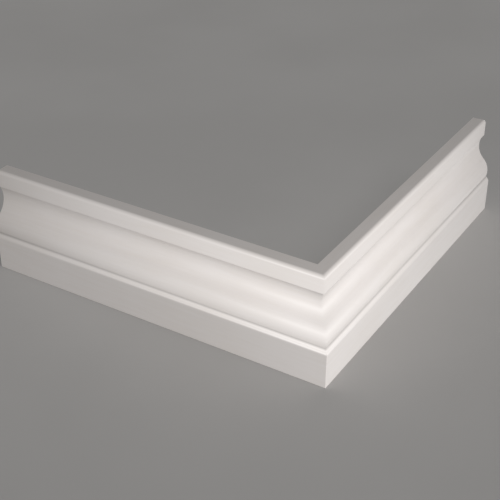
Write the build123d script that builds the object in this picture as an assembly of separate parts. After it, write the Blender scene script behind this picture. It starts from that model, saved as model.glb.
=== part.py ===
from build123d import *
import math
import os

# An outside corner of skirting board: two lengths of the same moulded board, mitred and
# stood against the two faces of a wall that turns a corner. Millimetres, +Z up. The origin
# is the foot of the wall's corner. The left board runs along -X with its face to -Y, and
# the right board runs along +Y with its face to +X.

# Lengths, from the wall's corner to each square-cut end
left_length = 300.0
right_length = 300.0

# The board
board_height = 90.0
board_thickness = 22.0

# The square member at the top of the moulding
fillet_height = 15.0
top_arris_radius = 3.0
soffit_arris_radius = 0.4

# The ogee, a hollow above a belly, measured back from the plinth's face
belly_behind_plinth = 2.15
ogee_depth = 11.1
hollow_radius = 18.4
hollow_behind_fillet = 3.75
soffit_width = 0.8

# Heights along the ogee, each from the turning point above it
belly_below_hollow = 25.8
quirk_below_belly = 5.2

# The plinth below the quirk
plinth_shoulder_radius = 6.0
foot_arris_radius = 0.3

# Distances of the moulding's turning points from the wall
belly_depth = board_thickness - belly_behind_plinth
hollow_depth = belly_depth - ogee_depth
fillet_depth = hollow_depth + hollow_behind_fillet
hollow_top_depth = fillet_depth - soffit_width

# The hollow is one arc, whose deepest point lies as far below the fillet as its radius needs
hollow_centre_depth = hollow_depth + hollow_radius
hollow_below_fillet = math.sqrt(hollow_radius**2 - (hollow_centre_depth - hollow_top_depth) ** 2)

# Heights of the turning points
soffit_height = board_height - fillet_height
hollow_height = soffit_height - hollow_below_fillet
belly_height = hollow_height - belly_below_hollow
quirk_height = belly_height - quirk_below_belly

# The belly's radius makes it run into the hollow without a corner
ogee_radii_sum = (ogee_depth**2 + belly_below_hollow**2) / (2 * ogee_depth)
belly_radius = ogee_radii_sum - hollow_radius
belly_centre_depth = belly_depth - belly_radius

# The quirk is the crease where the belly meets the plinth's rounded shoulder
quirk_depth = belly_centre_depth + math.sqrt(belly_radius**2 - quirk_below_belly**2)
shoulder_centre_depth = board_thickness - plinth_shoulder_radius
shoulder_rise = math.sqrt(plinth_shoulder_radius**2 - (quirk_depth - shoulder_centre_depth) ** 2)
shoulder_height = quirk_height - shoulder_rise

# The mitre stands on the line from the wall's corner to the outer corner of the boards
mitre_plane = Plane(origin=(0, 0, 0), z_dir=(1, 1, 0))


def ogee_turn():
    """The point where the belly runs into the hollow."""
    share = hollow_radius / ogee_radii_sum
    depth = hollow_depth + ogee_depth * share
    height = hollow_height - belly_below_hollow * share
    return depth, height


def board_section():
    """The moulded section, drawn with the distance from the wall as X and the height as Y."""
    with BuildSketch() as section:
        with BuildLine():
            Polyline(
                (hollow_top_depth, soffit_height),
                (fillet_depth, soffit_height),
                (fillet_depth, board_height),
                (0, board_height),
                (0, 0),
                (board_thickness, 0),
                (board_thickness, shoulder_height),
            )
            RadiusArc(
                (board_thickness, shoulder_height),
                (quirk_depth, quirk_height),
                -plinth_shoulder_radius,
            )
            RadiusArc((quirk_depth, quirk_height), ogee_turn(), -belly_radius)
            RadiusArc(ogee_turn(), (hollow_top_depth, soffit_height), hollow_radius)
        make_face()
        fillet(corner_near(section, fillet_depth, board_height), top_arris_radius)
        fillet(corner_near(section, fillet_depth, soffit_height), soffit_arris_radius)
        fillet(corner_near(section, board_thickness, 0), foot_arris_radius)
    return section.sketch


def corner_near(section, depth, height):
    """The section's corner nearest to a place."""
    return section.vertices().sort_by_distance((depth, height, 0))[0]


def mitred_board(length):
    """A board along -X with its face to -Y, cut square at its far end and mitred at the wall's corner."""
    end_plane = Plane(origin=(-length, 0, 0), x_dir=(0, -1, 0), z_dir=(-1, 0, 0))
    uncut = extrude(end_plane * board_section(), -(length + board_thickness))
    return split(uncut, bisect_by=mitre_plane, keep=Keep.BOTTOM)


def left_board():
    """The board on the wall face that looks to -Y."""
    return mitred_board(left_length)


def right_board():
    """The board on the wall face that looks to +X, the other hand of the same board."""
    return mirror(mitred_board(right_length), about=mitre_plane)


os.makedirs("parts", exist_ok=True)
export_step(left_board(), "parts/left_board.step")
export_step(right_board(), "parts/right_board.step")
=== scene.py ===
"""The looks of an outside corner of skirting board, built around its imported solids.

Two mitred boards stand on a pale floor. Lengths are in metres and +Z is up. The wall's corner
stands on the origin. The left board runs along -X with its face to -Y, and the right board runs
along +Y with its face to +X. Depths are measured from the wall.
"""
import logging
import math
from collections.abc import Callable, Mapping
from dataclasses import dataclass, field
from enum import Enum
from typing import Any

import bmesh
import bpy
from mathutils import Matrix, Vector


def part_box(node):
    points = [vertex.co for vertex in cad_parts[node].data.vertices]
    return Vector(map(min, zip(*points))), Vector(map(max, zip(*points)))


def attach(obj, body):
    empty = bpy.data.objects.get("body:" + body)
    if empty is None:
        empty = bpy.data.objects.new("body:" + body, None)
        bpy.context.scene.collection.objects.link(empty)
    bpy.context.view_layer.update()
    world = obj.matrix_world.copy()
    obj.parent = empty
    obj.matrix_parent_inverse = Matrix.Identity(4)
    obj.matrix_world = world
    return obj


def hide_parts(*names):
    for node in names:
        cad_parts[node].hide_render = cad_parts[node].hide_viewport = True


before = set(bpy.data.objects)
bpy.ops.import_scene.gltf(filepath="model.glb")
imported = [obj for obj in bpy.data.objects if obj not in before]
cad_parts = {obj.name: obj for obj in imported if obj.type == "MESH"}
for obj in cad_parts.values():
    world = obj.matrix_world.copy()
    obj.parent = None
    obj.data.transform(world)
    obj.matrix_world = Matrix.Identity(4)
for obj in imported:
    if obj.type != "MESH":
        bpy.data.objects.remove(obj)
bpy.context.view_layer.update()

# How near two points lie when they count as one, in metres
TOUCH = 1e-6

# How much of a face's direction points one way when the face counts as facing that way
PLAINLY = 0.5

# The angle between a board's face and the mitre, in degrees
MITRE_ANGLE = 45.0

# The side of the square photograph in pixels, and of the camera's sensor in millimetres
PICTURE_SIDE = 500.0
SENSOR_SIDE = 36.0

log = logging.getLogger("skirting")


class Hand(Enum):
    """The side of the wall's corner that a board stands on."""

    LEFT = "left"
    RIGHT = "right"


# The way a board faces and the way it runs from the wall's corner
FACING = {
    Hand.LEFT: (Vector((0.0, -1.0, 0.0)), Vector((-1.0, 0.0, 0.0))),
    Hand.RIGHT: (Vector((1.0, 0.0, 0.0)), Vector((0.0, 1.0, 0.0))),
}


class Side(Enum):
    """The sides of a board that take different coats."""

    SHOWN = 0
    HIDDEN = 1


class Lamp(Enum):
    """The kinds of light in the studio, by the names that the light data takes."""

    SOFTBOX = "AREA"
    SKY = "SUN"


class Blend(Enum):
    """What a Mix node blends: its data type, the numbers of its two inputs, and of its output."""

    COLOURS = ("RGBA", 6, 7, 2)
    DIRECTIONS = ("VECTOR", 4, 5, 1)


@dataclass(frozen=True)
class Grain:
    """One cloudy noise of a finish.

    Its scale is how many features lie in a metre, its detail is how many finer layers it has, and
    its seed is a shift that makes it its own.
    """

    scale: float
    detail: float
    seed: float


class Signal:
    """A number that changes over a surface: one socket, with the arithmetic that the finishes use."""

    def __init__(self, tree: "Tree", socket: bpy.types.NodeSocket) -> None:
        """Wrap the socket that carries the number, and keep the node tree that it belongs to."""
        self.tree = tree
        self.socket = socket

    def _maths(self, operation: str, first: Any, second: Any) -> "Signal":
        """Join two numbers or signals with a Math node."""
        return self.tree.signal("ShaderNodeMath", {"operation": operation}, {0: first, 1: second})

    def __add__(self, other: Any) -> "Signal":
        """This number plus another."""
        return self._maths("ADD", self, other)

    def __radd__(self, other: Any) -> "Signal":
        """Another number plus this."""
        return self._maths("ADD", other, self)

    def __sub__(self, other: Any) -> "Signal":
        """This number minus another."""
        return self._maths("SUBTRACT", self, other)

    def __rsub__(self, other: Any) -> "Signal":
        """Another number minus this."""
        return self._maths("SUBTRACT", other, self)

    def __mul__(self, other: Any) -> "Signal":
        """This number times another."""
        return self._maths("MULTIPLY", self, other)

    def __rmul__(self, other: Any) -> "Signal":
        """Another number times this."""
        return self._maths("MULTIPLY", other, self)

    def __truediv__(self, other: Any) -> "Signal":
        """This number over another."""
        return self._maths("DIVIDE", self, other)

    def __neg__(self) -> "Signal":
        """This number with its sign turned."""
        return self._maths("MULTIPLY", self, -1.0)

    def about_zero(self) -> "Signal":
        """This noise, moved so that it swings about 0."""
        return self - 0.5

    def between(self, low: float, high: float) -> "Signal":
        """Ramp smoothly from 0 to 1.

        Args:
            low: Where the ramp leaves 0.
            high: Where the ramp reaches 1.

        Returns:
            The ramp's height, from 0 to 1.
        """
        settings = {"interpolation_type": "SMOOTHSTEP"}
        inputs = {"Value": self, "From Min": low, "From Max": high}
        return self.tree.signal("ShaderNodeMapRange", settings, inputs)


class Tree:
    """A material's node tree, filled by one method that adds any node."""

    def __init__(self, name: str) -> None:
        """Start an empty material.

        Args:
            name: The material's name.
        """
        self.material = bpy.data.materials.new(name)
        self.material.use_nodes = True
        self.nodes = self.material.node_tree.nodes
        self.links = self.material.node_tree.links
        self.nodes.clear()

    def add(
        self,
        kind: str,
        settings: Mapping[str, Any] | None = None,
        inputs: Mapping[str | int, Any] | None = None,
    ) -> bpy.types.Node:
        """Add a node, set it up, then fill its sockets.

        Args:
            kind: The node's type.
            settings: The node's own properties, which are set first.
            inputs: The value, signal or socket for each input, by name or number.

        Returns:
            The node.
        """
        node = self.nodes.new(kind)
        for key, value in (settings or {}).items():
            setattr(node, key, value)
        for key, value in (inputs or {}).items():
            if isinstance(value, Signal):
                self.links.new(value.socket, node.inputs[key])
            elif isinstance(value, bpy.types.NodeSocket):
                self.links.new(value, node.inputs[key])
            else:
                node.inputs[key].default_value = value
        return node

    def signal(
        self,
        kind: str,
        settings: Mapping[str, Any] | None = None,
        inputs: Mapping[str | int, Any] | None = None,
        output: str | int = 0,
    ) -> Signal:
        """Add a node, and take one of its outputs, by name or number, as a number."""
        return Signal(self, self.add(kind, settings, inputs).outputs[output])

    def place(self) -> bpy.types.NodeSocket:
        """The place on the piece, in metres."""
        return self.add("ShaderNodeTexCoord").outputs["Object"]

    def parts_of(self, vector: bpy.types.NodeSocket) -> tuple[Signal, Signal, Signal]:
        """Split a vector.

        Args:
            vector: The socket that carries it.

        Returns:
            Its three parts.
        """
        node = self.add("ShaderNodeSeparateXYZ", inputs={"Vector": vector})
        x, y, z = (Signal(self, socket) for socket in node.outputs)
        return x, y, z

    def vector_of(self, x: Any, y: Any, z: Any) -> bpy.types.NodeSocket:
        """Join three numbers or signals into a vector."""
        return self.add("ShaderNodeCombineXYZ", inputs={"X": x, "Y": y, "Z": z}).outputs["Vector"]

    def vector_maths(self, operation: str, first: Any, second: Any = None) -> bpy.types.NodeSocket:
        """Work on one vector, or on two, with a Vector Math node."""
        inputs = {0: first} if second is None else {0: first, 1: second}
        return self.add("ShaderNodeVectorMath", {"operation": operation}, inputs).outputs["Vector"]

    def noise(self, place: Any, grain: Grain) -> Signal:
        """Read a cloudy noise.

        Args:
            place: Where it is read.
            grain: Its grain.

        Returns:
            The noise, about a middle of 0.5.
        """
        settings = {"noise_dimensions": "4D"}
        inputs = {"Vector": place, "Scale": grain.scale, "Detail": grain.detail, "W": grain.seed}
        return self.signal("ShaderNodeTexNoise", settings, inputs, "Fac")

    def mix(self, blend: Blend, share: Signal, first: Any, second: Any) -> bpy.types.NodeSocket:
        """Add a Mix node.

        Args:
            blend: What is mixed.
            share: How much of the second input counts.
            first: The first input.
            second: The second input.

        Returns:
            The socket that carries the mix.
        """
        data_type, first_input, second_input, output = blend.value
        inputs = {"Factor": share, first_input: first, second_input: second}
        return self.add("ShaderNodeMix", {"data_type": data_type}, inputs).outputs[output]

    def colour_mix(self, share: Signal, first: Any, second: Any) -> bpy.types.NodeSocket:
        """Blend two colours, each given as numbers or a socket, by how much of the second shows."""
        first, second = ((*c, 1.0) if isinstance(c, tuple) else c for c in (first, second))
        return self.mix(Blend.COLOURS, share, first, second)

    def vector_mix(self, share: Signal, first: Any, second: Any) -> bpy.types.NodeSocket:
        """Blend two directions, by how much of the second counts, into one that is a unit long."""
        return self.vector_maths("NORMALIZE", self.mix(Blend.DIRECTIONS, share, first, second))

    def finish(self, shader: bpy.types.Node) -> bpy.types.Material:
        """Send a shader to the surface.

        Args:
            shader: The node that carries the surface.

        Returns:
            The material.
        """
        output = self.add("ShaderNodeOutputMaterial")
        self.links.new(shader.outputs[0], output.inputs["Surface"])
        return self.material


@dataclass(frozen=True)
class Section:
    """The moulded section, with depths from the wall and heights from the floor."""

    thickness: float
    height: float
    fillet_height: float = 0.015
    top_arris: float = 0.003
    soffit_arris: float = 0.0004
    belly_behind_plinth: float = 0.00215
    ogee_depth: float = 0.0111
    hollow_radius: float = 0.0184
    hollow_behind_fillet: float = 0.00375
    soffit_width: float = 0.0008
    belly_below_hollow: float = 0.0258
    quirk_below_belly: float = 0.0052
    shoulder_radius: float = 0.006
    foot_arris: float = 0.0003

    @property
    def fillet_depth(self) -> float:
        """How far the square top member stands off the wall."""
        return self.hollow_depth + self.hollow_behind_fillet

    @property
    def hollow_depth(self) -> float:
        """The depth of the hollow's deepest line."""
        return self.thickness - self.belly_behind_plinth - self.ogee_depth

    @property
    def soffit_height(self) -> float:
        """The height of the fillet's underside."""
        return self.height - self.fillet_height

    @property
    def hollow_top(self) -> Vector:
        """Where the hollow meets the fillet's underside."""
        return Vector((self.fillet_depth - self.soffit_width, self.soffit_height))

    @property
    def hollow_centre(self) -> Vector:
        """The centre of the hollow's arc."""
        depth = self.hollow_depth + self.hollow_radius
        drop = math.sqrt(self.hollow_radius**2 - (depth - self.hollow_top.x) ** 2)
        return Vector((depth, self.soffit_height - drop))

    @property
    def belly_radius(self) -> float:
        """The radius that lets the belly run into the hollow without a corner."""
        radii_sum = (self.ogee_depth**2 + self.belly_below_hollow**2) / (2.0 * self.ogee_depth)
        return radii_sum - self.hollow_radius

    @property
    def belly_centre(self) -> Vector:
        """The centre of the belly's arc."""
        depth = self.thickness - self.belly_behind_plinth - self.belly_radius
        return Vector((depth, self.hollow_centre.y - self.belly_below_hollow))

    @property
    def turn(self) -> Vector:
        """Where the hollow runs into the belly."""
        share = self.hollow_radius / (self.hollow_radius + self.belly_radius)
        return self.hollow_centre.lerp(self.belly_centre, share)

    @property
    def quirk(self) -> Vector:
        """The crease where the belly meets the plinth's shoulder."""
        reach = math.sqrt(self.belly_radius**2 - self.quirk_below_belly**2)
        return self.belly_centre + Vector((reach, -self.quirk_below_belly))

    @property
    def shoulder_centre(self) -> Vector:
        """The centre of the plinth's rounded shoulder."""
        depth = self.thickness - self.shoulder_radius
        drop = math.sqrt(self.shoulder_radius**2 - (self.quirk.x - depth) ** 2)
        return Vector((depth, self.quirk.y - drop))


class EdgeWork:
    """The bench tools: operators that work on one mesh in edit mode, on what is selected by place."""

    def __init__(self, piece: bpy.types.Object) -> None:
        """Open a mesh for work.

        Args:
            piece: The object whose mesh is worked on.
        """
        self.piece = piece
        bpy.ops.object.mode_set(mode="EDIT")
        bpy.ops.mesh.select_mode(type="EDGE")
        bpy.ops.mesh.select_all(action="DESELECT")

    def pick_edges(self, wanted: Callable[[Vector], bool]) -> None:
        """Select the edges whose two ends both lie where they should.

        Args:
            wanted: Says of a point whether it lies there.
        """
        mesh = bmesh.from_edit_mesh(self.piece.data)
        for edge in mesh.edges:
            edge.select_set(all(wanted(vert.co) for vert in edge.verts))
        mesh.select_flush_mode()
        bmesh.update_edit_mesh(self.piece.data)

    def pull(self, depth: float, height: float) -> None:
        """Extrude the selected edge straight, by a depth from the wall and a height upwards."""
        bpy.ops.mesh.extrude_region_move(TRANSFORM_OT_translate={"value": (0.0, -depth, height)})

    def turn_about(self, centre: Vector, start: Vector, end: Vector, step: float) -> None:
        """Spin the selected edge along an arc.

        Args:
            centre: The arc's centre, as a depth and a height.
            start: Where the edge is.
            end: Where the edge goes.
            step: About how far each facet turns, in degrees.
        """
        first = start - centre
        last = end - centre
        angle = math.atan2(last.y, last.x) - math.atan2(first.y, first.x)
        angle = math.remainder(angle, math.tau)
        bpy.ops.mesh.spin(
            steps=max(2, round(math.degrees(abs(angle)) / step)),
            angle=angle,
            center=(0.0, -centre.x, centre.y),
            axis=(1.0, 0.0, 0.0),
            use_auto_merge=False,
        )

    def slice_off(self, place: Vector, outward: Vector) -> None:
        """Cut the whole mesh with a plane, drop what lies outward of it and close the cut."""
        bpy.ops.mesh.select_all(action="SELECT")
        bpy.ops.mesh.bisect(plane_co=place, plane_no=outward, use_fill=True, clear_outer=True)

    def close(self) -> None:
        """Merge what touches, turn the faces outwards and leave edit mode."""
        bpy.ops.mesh.select_all(action="SELECT")
        bpy.ops.mesh.remove_doubles(threshold=TOUCH)
        bpy.ops.mesh.normals_make_consistent(inside=False)
        bpy.ops.mesh.select_all(action="DESELECT")
        bpy.ops.object.mode_set(mode="OBJECT")


@dataclass(frozen=True)
class SatinPaint:
    """The sprayed satin white of the sides that show.

    The moulding above the plinth is painted as one skin that turns the corner, so its shading
    turns from each board's own face towards the mitre. Paint lies thick in the quirk and rounds
    it in the light, and painted shade darkens the colour along the quirk. Reaches, blurs and depths
    are in metres.
    A ramp is two values, where something begins to show and where it shows in full.
    """

    name: str
    hand: Hand
    length: float
    quirk_height: float
    plinth_top: float
    white: tuple[float, float, float] = (0.86, 0.815, 0.79)
    cream: tuple[float, float, float] = (0.83, 0.78, 0.745)
    # Painted shade: the darker colour laid along the quirk
    quirk_shade_colour: tuple[float, float, float] = (0.70, 0.665, 0.635)
    cloud: Grain = Grain(14.0, 3.0, 1.7)
    streak: Grain = Grain(420.0, 4.0, 4.1)
    peel: Grain = Grain(900.0, 2.0, 7.3)
    speck: Grain = Grain(2600.0, 1.0, 9.9)
    streak_squeeze: float = 0.06
    cloud_tone: float = 0.55
    streak_tone: float = 0.45
    tone_ramp: tuple[float, float] = (0.36, 0.66)
    roughness: float = 0.46
    gloss: float = 0.3
    peel_sheen: float = 0.10
    streak_sheen: float = 0.14
    peel_depth: float = 0.000018
    ripple_depth: float = 0.000006
    speck_depth: float = 0.000004
    speck_ramp: tuple[float, float] = (0.68, 0.8)
    # How far the painted shade reaches from the quirk, and how much of it shows
    painted_shade_reach: float = 0.0013
    painted_shade_share: float = 0.32
    pool_reach: float = 0.0024
    pool_lean: float = 0.85
    pool_ramp: tuple[float, float] = (0.1, 0.3)
    quirk_blur: float = 0.0002
    skin_ramp: tuple[float, float] = (0.0, 0.08)
    skin_blur: float = 0.0006

    def pooled_normal(self, tree: Tree, height: Signal) -> bpy.types.NodeSocket:
        """Round the quirk, where paint has pooled on the plinth's shoulder.

        Args:
            tree: The node tree.
            height: Height above the floor.

        Returns:
            The socket that carries the shading direction.
        """
        own = tree.add("ShaderNodeNewGeometry").outputs["Normal"]
        x, y, z = tree.parts_of(own)
        below_quirk = 1.0 - height.between(self.quirk_height, self.quirk_height + self.quirk_blur)
        pool = self.pool_lean * z.between(*self.pool_ramp) * below_quirk
        pool = pool * height.between(self.quirk_height - self.pool_reach, self.quirk_height)
        return tree.vector_maths("NORMALIZE", tree.vector_of(x, y, z - pool))

    def quirk_painted_shade(self, height: Signal) -> Signal:
        """Find the painted shade that darkens the colour along the quirk.

        Args:
            height: Height above the floor.

        Returns:
            How much painted shade there is, from 0 to 1.
        """
        above = height.between(self.quirk_height + self.painted_shade_reach, self.quirk_height)
        below = height.between(self.quirk_height - self.painted_shade_reach, self.quirk_height)
        return above * below

    def turned_normal(self, tree: Tree, own: Any, along: Signal, depth: Signal, height: Signal) -> Any:
        """Turn the shading of the moulding towards the mitre, in full there and not at the sawn end.

        Args:
            tree: The node tree.
            own: The board's own shading direction.
            along: Distance from the wall's corner along the board.
            depth: Distance from the wall.
            height: Height above the floor.

        Returns:
            The socket that carries the shading direction.
        """
        x, y, z = tree.parts_of(own)
        over_mitre = tree.vector_of(-y, -x, z)
        mean = tree.vector_maths("NORMALIZE", tree.vector_maths("ADD", own, over_mitre))
        facing = (-y if self.hand is Hand.LEFT else x).between(*self.skin_ramp)
        moulded = height.between(self.plinth_top, self.plinth_top + self.skin_blur)
        share = (1.0 - (along + depth) / (self.length + depth)) * moulded * facing
        return tree.vector_mix(share, own, mean)

    def material(self) -> bpy.types.Material:
        """Build the paint.

        Returns:
            The material.
        """
        tree = Tree(self.name)
        place = tree.place()
        x, y, height = tree.parts_of(place)
        along, depth = (-x, -y) if self.hand is Hand.LEFT else (y, x)
        streaked = tree.vector_of(along * self.streak_squeeze, depth, height)

        cloud = tree.noise(place, self.cloud)
        streak = tree.noise(streaked, self.streak)
        peel = tree.noise(place, self.peel)
        speck = tree.noise(place, self.speck)

        tone = (self.cloud_tone * cloud + self.streak_tone * streak).between(*self.tone_ramp)
        clean = tree.colour_mix(tone, self.white, self.cream)
        # Painted shade: the colour is darkened along the quirk
        colour = tree.colour_mix(self.quirk_painted_shade(height) * self.painted_shade_share, clean, self.quirk_shade_colour)
        sheen = self.roughness + peel.about_zero() * self.peel_sheen
        sheen = sheen + streak.about_zero() * self.streak_sheen
        turned = self.turned_normal(tree, self.pooled_normal(tree, height), along, depth, height)
        relief = peel * self.peel_depth + streak * self.ripple_depth
        relief = relief + speck.between(*self.speck_ramp) * self.speck_depth
        bump = tree.add("ShaderNodeBump", inputs={"Distance": 1.0, "Height": relief, "Normal": turned})
        shader = tree.add(
            "ShaderNodeBsdfPrincipled",
            inputs={
                "Base Color": colour,
                "Roughness": sheen,
                "Specular IOR Level": self.gloss,
                "Normal": bump.outputs[0],
            },
        )
        return tree.finish(shader)


@dataclass(frozen=True)
class PrimeCoat:
    """The thin matt prime coat of the back, the foot, the mitre and the sawn end.

    The board's fibre shows under it. Depths are in metres, and a ramp is two values, where
    something begins to show and where it shows in full.
    """

    name: str
    white: tuple[float, float, float] = (0.80, 0.775, 0.75)
    grey: tuple[float, float, float] = (0.73, 0.70, 0.67)
    cloud: Grain = Grain(22.0, 4.0, 2.4)
    fibre: Grain = Grain(1500.0, 4.0, 5.8)
    fleck: Grain = Grain(700.0, 2.0, 8.2)
    cloud_tone: float = 0.6
    fibre_tone: float = 0.4
    tone_ramp: tuple[float, float] = (0.38, 0.68)
    tone_share: float = 0.8
    fleck_ramp: tuple[float, float] = (0.58, 0.74)
    fleck_share: float = 0.2
    roughness: float = 0.72
    fibre_sheen: float = 0.2
    fibre_depth: float = 0.00006

    def material(self) -> bpy.types.Material:
        """Build the prime coat.

        Returns:
            The material.
        """
        tree = Tree(self.name)
        place = tree.place()
        cloud = tree.noise(place, self.cloud)
        fibre = tree.noise(place, self.fibre)
        fleck = tree.noise(place, self.fleck).between(*self.fleck_ramp)
        tone = (self.cloud_tone * cloud + self.fibre_tone * fibre).between(*self.tone_ramp)
        share = tone * self.tone_share + fleck * self.fleck_share
        colour = tree.colour_mix(share, self.white, self.grey)
        sheen = self.roughness + fibre.about_zero() * self.fibre_sheen
        relief = fibre * self.fibre_depth
        bump = tree.add("ShaderNodeBump", inputs={"Distance": 1.0, "Height": relief})
        shader = tree.add(
            "ShaderNodeBsdfPrincipled",
            inputs={"Base Color": colour, "Roughness": sheen, "Normal": bump.outputs[0]},
        )
        return tree.finish(shader)


@dataclass(frozen=True)
class PaleFloor:
    """The plain pale floor's matt coat."""

    name: str = "pale_floor_coat"
    pale: tuple[float, float, float] = (0.52, 0.51, 0.50)
    dusk: tuple[float, float, float] = (0.49, 0.48, 0.47)
    cloud: Grain = Grain(3.0, 4.0, 3.3)
    tone_ramp: tuple[float, float] = (0.35, 0.65)
    roughness: float = 0.85

    def material(self) -> bpy.types.Material:
        """Build the floor's coat.

        Returns:
            The material.
        """
        tree = Tree(self.name)
        tone = tree.noise(tree.place(), self.cloud).between(*self.tone_ramp)
        colour = tree.colour_mix(tone, self.pale, self.dusk)
        shader = tree.add(
            "ShaderNodeBsdfPrincipled",
            inputs={"Base Color": colour, "Roughness": self.roughness},
        )
        return tree.finish(shader)


@dataclass
class MitredBoard:
    """One length of the moulded board, drawn along the left wall and cut at the mitre.

    Steps and cuts count the facets of a rounding, and the arc step and the angle under which edges
    are smooth are in degrees.
    """

    section: Section
    length: float
    arc_step: float = 4.0
    top_arris_steps: int = 10
    soffit_arris_steps: int = 3
    foot_arris_steps: int = 2
    paint_fillet: float = 0.0004
    paint_fillet_steps: int = 4
    corner_arris: float = 0.0006
    corner_cuts: int = 3
    end_arris: float = 0.0002
    end_arris_steps: int = 2
    smooth_under: float = 24.0

    def blank(self, name: str) -> bpy.types.Object:
        """Start the board as its flat back.

        Args:
            name: The piece's name.

        Returns:
            The piece, with one upright face against the wall.
        """
        reach = self.length + self.section.thickness
        middle = (self.section.thickness - self.length) / 2.0
        bpy.ops.mesh.primitive_plane_add(
            size=1.0,
            location=(middle, 0.0, self.section.height / 2.0),
            rotation=(math.pi / 2.0, 0.0, 0.0),
        )
        piece = bpy.context.object
        piece.name = name
        piece.data.name = name
        bpy.ops.transform.resize(value=(reach, 1.0, self.section.height))
        bpy.ops.object.transform_apply(location=True, rotation=True, scale=True)
        return piece

    def run_moulding(self, bench: EdgeWork) -> None:
        """Draw the section out of the back's top edge, down to its bottom edge.

        Args:
            bench: The piece, open for work.
        """
        cut = self.section
        bench.pick_edges(lambda point: abs(point.z - cut.height) < TOUCH)
        bench.pull(cut.fillet_depth, 0.0)
        bench.pull(0.0, -cut.fillet_height)
        bench.pull(-cut.soffit_width, 0.0)
        bench.turn_about(cut.hollow_centre, cut.hollow_top, cut.turn, self.arc_step)
        bench.turn_about(cut.belly_centre, cut.turn, cut.quirk, self.arc_step)
        plinth_top = Vector((cut.thickness, cut.shoulder_centre.y))
        bench.turn_about(cut.shoulder_centre, cut.quirk, plinth_top, self.arc_step)
        bench.pull(0.0, -plinth_top.y)
        bench.pull(-cut.thickness, 0.0)
        bpy.ops.mesh.select_all(action="SELECT")
        bpy.ops.mesh.remove_doubles(threshold=TOUCH)

    def round_arrises(self, bench: EdgeWork) -> None:
        """Round the long edges of the section that a moulder leaves soft, and the paint in the quirk.

        Args:
            bench: The piece, open for work.
        """
        cut = self.section
        edges = (
            (cut.fillet_depth, cut.height, cut.top_arris, self.top_arris_steps),
            (cut.fillet_depth, cut.soffit_height, cut.soffit_arris, self.soffit_arris_steps),
            (cut.thickness, 0.0, cut.foot_arris, self.foot_arris_steps),
            (cut.quirk.x, cut.quirk.y, self.paint_fillet, self.paint_fillet_steps),
        )
        for depth, height, radius, steps in edges:
            line = Vector((-depth, height))
            bench.pick_edges(lambda point: (point.yz - line).length < TOUCH)
            bpy.ops.mesh.bevel(offset=radius, segments=steps, affect="EDGES")

    def cut_mitre(self, bench: EdgeWork) -> None:
        """Cut the mitre, then ease the outer corner of the plinth as sanding does.

        Args:
            bench: The piece, open for work.
        """
        bench.slice_off(Vector((0.0, 0.0, 0.0)), Vector((1.0, 1.0, 0.0)))
        inner = self.section.thickness - self.corner_arris
        for cut in range(1, self.corner_cuts + 1):
            angle = math.radians(MITRE_ANGLE * cut / self.corner_cuts)
            outward = Vector((math.sin(angle), -math.cos(angle), 0.0))
            bench.slice_off(Vector((inner, -inner, 0.0)) + outward * self.corner_arris, outward)

    def saw_end(self, bench: EdgeWork) -> None:
        """Close the far end with a flat face."""
        bench.pick_edges(lambda point: abs(point.x + self.length) < TOUCH)
        bpy.ops.mesh.edge_face_add()

    def ease_sawn_end(self, piece: bpy.types.Object) -> None:
        """Take the sharpness off the edges of the sawn end.

        Args:
            piece: The closed board.
        """
        mesh = piece.data
        weights = mesh.attributes.new("bevel_weight_edge", "FLOAT", "EDGE")
        for edge in mesh.edges:
            ends = [mesh.vertices[index].co for index in edge.vertices]
            weights.data[edge.index].value = float(all(abs(e.x + self.length) < TOUCH for e in ends))
        ease = piece.modifiers.new("ease_sawn_end", "BEVEL")
        ease.limit_method = "WEIGHT"
        ease.width = self.end_arris
        ease.segments = self.end_arris_steps
        bpy.ops.object.modifier_apply(modifier=ease.name)

    def smooth(self, piece: bpy.types.Object) -> None:
        """Shade the arcs smooth and keep the flats flat.

        Args:
            piece: The closed board.
        """
        bpy.ops.object.select_all(action="DESELECT")
        piece.select_set(True)
        bpy.context.view_layer.objects.active = piece
        bpy.ops.object.shade_smooth_by_angle(angle=math.radians(self.smooth_under))
        weigh = piece.modifiers.new("flats_stay_flat", "WEIGHTED_NORMAL")
        weigh.keep_sharp = True
        bpy.ops.object.modifier_apply(modifier=weigh.name)

    def build(self, name: str) -> bpy.types.Object:
        """Make the board for the left wall.

        Args:
            name: The piece's name.

        Returns:
            The finished piece.
        """
        bpy.ops.object.select_all(action="DESELECT")
        piece = self.blank(name)
        bench = EdgeWork(piece)
        self.run_moulding(bench)
        self.round_arrises(bench)
        self.saw_end(bench)
        self.cut_mitre(bench)
        bench.close()
        self.ease_sawn_end(piece)
        return piece

    def other_hand(self, piece: bpy.types.Object, name: str) -> bpy.types.Object:
        """Copy the board to the right wall, mirrored over the mitre.

        Args:
            piece: The left board.
            name: The copy's name.

        Returns:
            The right board, with its own mesh.
        """
        bpy.ops.object.select_all(action="DESELECT")
        piece.select_set(True)
        bpy.context.view_layer.objects.active = piece
        bpy.ops.object.duplicate(linked=False)
        copy = bpy.context.object
        copy.name = name
        copy.data.name = name
        bench = EdgeWork(copy)
        bpy.ops.mesh.select_all(action="SELECT")
        bpy.ops.transform.resize(value=(-1.0, 1.0, 1.0), center_override=(0.0, 0.0, 0.0))
        bpy.ops.transform.rotate(value=-math.pi / 2.0, orient_axis="Z", center_override=(0.0, 0.0, 0.0))
        bench.close()
        return copy


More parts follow.
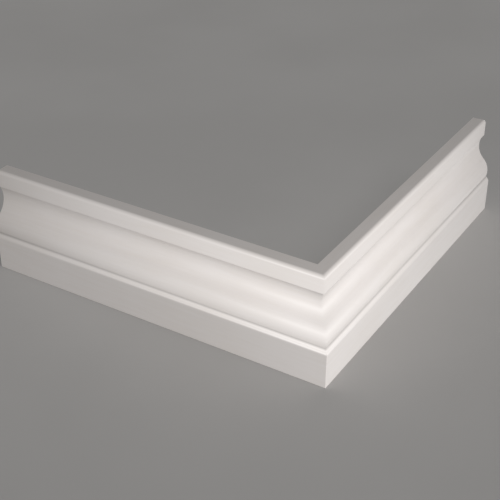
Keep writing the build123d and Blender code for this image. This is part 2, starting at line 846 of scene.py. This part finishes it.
@dataclass
class PaintedCorner:
    """The two painted boards that turn the corner.

    The plinth turn is how far up the plinth's shoulder the skin that turns the corner begins, in
    metres.
    """

    board: MitredBoard
    slot: str = "white_paint"
    plinth_turn: float = 0.0012
    prime: PrimeCoat = field(default_factory=lambda: PrimeCoat("prime_coat"))

    def paint(self, piece: bpy.types.Object, hand: Hand) -> None:
        """Give a board its satin face and its primed back, foot, ends and mitre.

        Args:
            piece: The board.
            hand: The side it stands on.
        """
        cut = self.board.section
        plinth_top = cut.shoulder_centre.y + self.plinth_turn
        paint = SatinPaint(f"satin_paint_{hand.value}", hand, self.board.length, cut.quirk.y, plinth_top)
        piece.data.materials.append(paint.material())
        piece.data.materials.append(self.prime.material())
        for face in piece.data.polygons:
            side = Side.HIDDEN if self.lies_hidden(face, hand) else Side.SHOWN
            face.material_index = side.value

    def lies_hidden(self, face: bpy.types.MeshPolygon, hand: Hand) -> bool:
        """Say whether a face is primed only.

        Args:
            face: The face.
            hand: The side that its board stands on.

        Returns:
            True on the back, the mitre, the sawn end and the foot.
        """
        out, along = FACING[hand]
        towards_wall = face.normal.dot(out) < -PLAINLY
        at_end = face.normal.dot(along) > PLAINLY
        at_foot = face.normal.z < -PLAINLY and face.center.z < self.board.section.foot_arris
        return towards_wall or at_end or at_foot

    def build(self) -> list[bpy.types.Object]:
        """Make both boards, paint them and set them on the frame.

        Returns:
            The pieces.
        """
        left = self.board.build("left_painted_board")
        right = self.board.other_hand(left, "right_painted_board")
        for piece, hand, node in ((left, Hand.LEFT, "left_board"), (right, Hand.RIGHT, "right_board")):
            self.board.smooth(piece)
            self.paint(piece, hand)
            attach(piece, "root")
            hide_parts(node)
            log.info("%s: %d faces, stands for %s", piece.name, len(piece.data.polygons), node)
        return [left, right]


@dataclass(frozen=True)
class SoftLight:
    """A soft light, hung in a place and faced to a point.

    A softbox is as wide as its width in metres, and its power is in watts. A sky light comes from
    all of a round patch of sky, its width is that patch's angle in radians, and its power is in
    watts for each square metre.
    """

    name: str
    place: tuple[float, float, float]
    width: float
    power: float
    kind: Lamp = Lamp.SOFTBOX
    aim: tuple[float, float, float] = (0.0, 0.1, 0.05)

    def hang(
        self,
        lit: bpy.types.Collection,
        stopped_by: bpy.types.Collection | None = None,
    ) -> None:
        """Hang the light.

        Args:
            lit: What it lights.
            stopped_by: What casts a shadow in it. Without this, everything does.
        """
        lamp = bpy.data.lights.new(self.name, self.kind.value)
        lamp.energy = self.power
        if self.kind is Lamp.SOFTBOX:
            lamp.shape = "SQUARE"
            lamp.size = self.width
        else:
            lamp.angle = self.width
        light = bpy.data.objects.new(self.name, lamp)
        light.location = self.place
        facing = Vector(self.aim) - Vector(self.place)
        light.rotation_euler = facing.to_track_quat("-Z", "Y").to_euler()
        light.light_linking.receiver_collection = lit
        light.light_linking.blocker_collection = stopped_by
        bpy.context.scene.collection.objects.link(light)


@dataclass
class Studio:
    """The floor, the lights and the camera, whose heading and dip are in degrees."""

    floor_side: float = 30.0
    ambient: float = 0.167
    ambient_tint: tuple[float, float, float] = (1.0, 0.99, 0.98)
    lights: tuple[SoftLight, ...] = (
        SoftLight("key_light", (0.92, -0.64, 0.46), 0.3, 12.77),
        SoftLight("low_light", (2.0, 4.4, -3.0), 1.0, 13.6),
        SoftLight("left_end_light", (-2.4, 0.08, 0.045), 0.08, 12.0),
        SoftLight("right_end_light", (-0.08, 2.4, 0.045), 0.08, 17.0),
    )
    floor_light: SoftLight = SoftLight("floor_light", (1.0, -0.5, 2.2), 0.9, 1.0, Lamp.SKY)
    eye: tuple[float, float, float] = (0.3026, -0.5819, 0.5026)
    heading: float = 31.753
    dip: float = 31.479
    focal_pixels: float = 1069.8

    def lay_floor(self) -> bpy.types.Object:
        """Lay the floor.

        Returns:
            The floor.
        """
        bpy.ops.object.select_all(action="DESELECT")
        bpy.ops.mesh.primitive_plane_add(size=self.floor_side, location=(0.0, 0.0, 0.0))
        floor = bpy.context.object
        floor.name = "pale_floor"
        floor.data.materials.append(PaleFloor().material())
        floor.visible_diffuse = False
        return floor

    def lit_by_itself(self, name: str, things: list[bpy.types.Object]) -> bpy.types.Collection:
        """Gather what a light falls on.

        Args:
            name: The group's name.
            things: What goes in it.

        Returns:
            The group.
        """
        group = bpy.data.collections.new(name)
        for thing in things:
            group.objects.link(thing)
        return group

    def light_room(self, boards: list[bpy.types.Object], floor: bpy.types.Object) -> None:
        """Hang the lights and set the room's own light.

        The floor has a light of its own, so that the near lights leave no bright patch on it. It
        stops none of the boards' light, because in the photograph light also comes from below.

        Args:
            boards: The painted boards.
            floor: The floor.
        """
        lit_boards = self.lit_by_itself("lit_boards", boards)
        for light in self.lights:
            light.hang(lit_boards, stopped_by=lit_boards)
        self.floor_light.hang(self.lit_by_itself("lit_floor", [floor]))
        world = bpy.data.worlds.new("studio")
        world.use_nodes = True
        grey = world.node_tree.nodes["Background"]
        grey.inputs["Color"].default_value = (*self.ambient_tint, 1.0)
        grey.inputs["Strength"].default_value = self.ambient
        bpy.context.scene.world = world

    def set_camera(self) -> None:
        """Set the camera where the photograph was taken from."""
        lens = bpy.data.cameras.new("camera")
        lens.sensor_width = SENSOR_SIDE
        lens.lens = self.focal_pixels / PICTURE_SIDE * SENSOR_SIDE
        camera = bpy.data.objects.new("camera", lens)
        camera.location = self.eye
        camera.rotation_euler = (math.radians(90.0 - self.dip), 0.0, math.radians(self.heading))
        bpy.context.scene.collection.objects.link(camera)
        bpy.context.scene.camera = camera

    def build(self, boards: list[bpy.types.Object]) -> None:
        """Make the studio.

        Args:
            boards: The painted boards.
        """
        self.light_room(boards, self.lay_floor())
        self.set_camera()
        bpy.context.scene.view_settings.view_transform = "Standard"
        log.info("studio is set")


def main() -> None:
    """Build the boards and the studio."""
    logging.basicConfig(level=logging.INFO, format="%(name)s: %(message)s")
    low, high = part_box("left_board")
    section = Section(thickness=-low.y, height=high.z)
    corner = PaintedCorner(MitredBoard(section, length=-low.x))
    Studio().build(corner.build())


if __name__ == "__main__":
    main()
